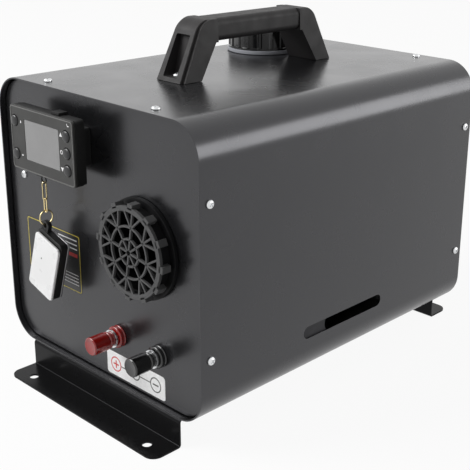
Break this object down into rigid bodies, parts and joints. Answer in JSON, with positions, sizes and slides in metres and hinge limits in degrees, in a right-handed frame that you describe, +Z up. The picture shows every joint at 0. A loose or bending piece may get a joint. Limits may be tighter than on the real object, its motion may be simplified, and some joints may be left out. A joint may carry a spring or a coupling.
{
  "type": "portable diesel air heater",
  "caption": "Portable diesel air heater: black sheet-metal case on folded feet, carrying handle, fuel cap, warm-air grille, wired controller, binding posts and hanging remote.",
  "frame": {"origin": "on the ground, under the middle of the case", "axes": "+X to the right seen from the front, +Y from the front to the back, +Z up"},
  "size_m": [0.2954, 0.457, 0.3613],
  "materials": {
    "black_sheet": "satin black powder coat",
    "handle_plastic": "moulded dark grey, fine texture",
    "black_plastic": "moulded black",
    "grey_plastic": "moulded dark grey",
    "ring_plastic": "moulded light grey",
    "display": "glossy grey display window, off",
    "zinc": "bright zinc plate",
    "red_plastic": "deep red, moulded",
    "gloss_black": "glossy black, moulded",
    "gold": "pale gold plate",
    "white_plastic": "smooth white cover",
    "silver_plastic": "silver paint",
    "tank_plastic": "natural translucent polyethylene",
    "rubber": "moulded black rubber",
    "cast_aluminium": "die-cast",
    "steel": "plain steel"
  },
  "bodies": {
    "case": {"case_wrap": "black_sheet", "front_panel": "black_sheet", "rear_panel": "black_sheet", "rear_intake_grille": "black_plastic", "left_front_upper_screw": "zinc", "right_front_upper_screw": "zinc", "left_front_lower_screw": "zinc", "right_front_lower_screw": "zinc", "left_back_upper_screw": "zinc", "right_back_upper_screw": "zinc", "left_back_lower_screw": "zinc", "right_back_lower_screw": "zinc", "top_front_left_screw": "zinc", "top_front_right_screw": "zinc", "top_back_left_screw": "zinc", "top_back_right_screw": "zinc", "front_foot": "black_sheet", "rear_foot": "black_sheet", "handle_front_leg": "handle_plastic", "handle_rear_leg": "handle_plastic", "handle_grip": "handle_plastic", "handle_front_screw": "zinc", "handle_rear_screw": "zinc", "fuel_tank": "tank_plastic", "filler_ring": "ring_plastic", "outlet_collar": "black_plastic", "controller_bezel": "grey_plastic", "controller_housing": "black_plastic", "display_window": "display", "controller_cradle": "black_plastic", "red_post_base": "red_plastic", "black_post_base": "gloss_black", "heater_shell": "black_plastic", "heat_exchanger": "cast_aluminium", "fan_motor": "steel", "heater_bracket": "black_sheet", "control_unit": "grey_plastic", "exhaust_pipe": "steel", "combustion_air_pipe": "rubber", "fuel_pump": "steel", "fuel_line": "rubber"},
    "grille": {"outlet_grille": "grey_plastic"},
    "cap_seal": {"cap_seal": "rubber"},
    "fuel_cap": {"fuel_cap": "black_plastic"},
    "menu_key": {"menu_button": "black_plastic"},
    "ok_key": {"ok_button": "black_plastic"},
    "up_key": {"up_button": "black_plastic"},
    "power_key": {"power_button": "black_plastic"},
    "down_key": {"down_button": "black_plastic"},
    "red_washer": {"red_post_washer": "zinc"},
    "red_knob": {"red_post_knob": "red_plastic"},
    "black_washer": {"black_post_washer": "zinc"},
    "black_knob": {"black_post_knob": "gloss_black"},
    "fan": {"fan_rotor": "black_plastic"},
    "chain": {"upper_chain_link": "gold", "lower_chain_link": "gold", "key_ring": "gold"},
    "remote": {"remote_body": "black_plastic", "remote_back": "silver_plastic"},
    "remote_cover": {"remote_cover": "white_plastic"}
  },
  "joints": [
    {"name": "grille_turn", "type": "hinge", "parent": "case", "child": "grille", "pos_m": [0.065, -0.2025, 0.179], "axis": [0, -1, 0], "range_deg": [0, 25]},
    {"name": "cap_lift", "type": "slide", "parent": "case", "child": "cap_seal", "axis": [0, 0, 1], "range_m": [0, 0.008]},
    {"name": "cap_turn", "type": "hinge", "parent": "cap_seal", "child": "fuel_cap", "pos_m": [-0.066, 0.091, 0.322], "axis": [0, 0, 1], "range_deg": [0, 720]},
    {"name": "menu_press", "type": "slide", "parent": "case", "child": "menu_key", "axis": [0, 1, 0], "range_m": [0, 0.0008], "stiffness_N_per_m": 300, "springref_m": -0.0003},
    {"name": "ok_press", "type": "slide", "parent": "case", "child": "ok_key", "axis": [0, 1, 0], "range_m": [0, 0.0008], "stiffness_N_per_m": 300, "springref_m": -0.0003},
    {"name": "up_press", "type": "slide", "parent": "case", "child": "up_key", "axis": [0, 1, 0], "range_m": [0, 0.0008], "stiffness_N_per_m": 300, "springref_m": -0.0003},
    {"name": "power_press", "type": "slide", "parent": "case", "child": "power_key", "axis": [0, 1, 0], "range_m": [0, 0.0008], "stiffness_N_per_m": 300, "springref_m": -0.0003},
    {"name": "down_press", "type": "slide", "parent": "case", "child": "down_key", "axis": [0, 1, 0], "range_m": [0, 0.0008], "stiffness_N_per_m": 300, "springref_m": -0.0003},
    {"name": "red_washer_slide", "type": "slide", "parent": "case", "child": "red_washer", "axis": [0, -1, 0], "range_m": [0, 0.004]},
    {"name": "red_knob_turn", "type": "hinge", "parent": "red_washer", "child": "red_knob", "pos_m": [0.025, -0.2065, 0.08], "axis": [0, -1, 0], "range_deg": [0, 1440]},
    {"name": "black_washer_slide", "type": "slide", "parent": "case", "child": "black_washer", "axis": [0, -1, 0], "range_m": [0, 0.004]},
    {"name": "black_knob_turn", "type": "hinge", "parent": "black_washer", "child": "black_knob", "pos_m": [0.083, -0.2065, 0.08], "axis": [0, -1, 0], "range_deg": [0, 1440]},
    {"name": "fan_spin", "type": "hinge", "parent": "case", "child": "fan", "pos_m": [0.065, 0.1135, 0.179], "axis": [0, 1, 0], "continuous": true},
    {"name": "chain_swing", "type": "hinge", "parent": "case", "child": "chain", "pos_m": [-0.054, -0.2115, 0.2163], "axis": [0, 1, 0], "range_deg": [-12, 18]},
    {"name": "remote_swing", "type": "hinge", "parent": "chain", "child": "remote", "pos_m": [-0.054, -0.2115, 0.1757], "axis": [0, 1, 0], "range_deg": [-18, 30]},
    {"name": "remote_cover_slide", "type": "slide", "parent": "remote", "child": "remote_cover", "axis": [-0.31, 0, -0.9507], "range_m": [0, 0.02]}
  ],
  "couplings": [
    {"joint": "cap_lift", "follows": "cap_turn", "m_per_rad": 0.000636},
    {"joint": "red_knob_turn", "follows": "red_washer_slide", "rad_per_m": 6283.2},
    {"joint": "black_knob_turn", "follows": "black_washer_slide", "rad_per_m": 6283.2}
  ]
}
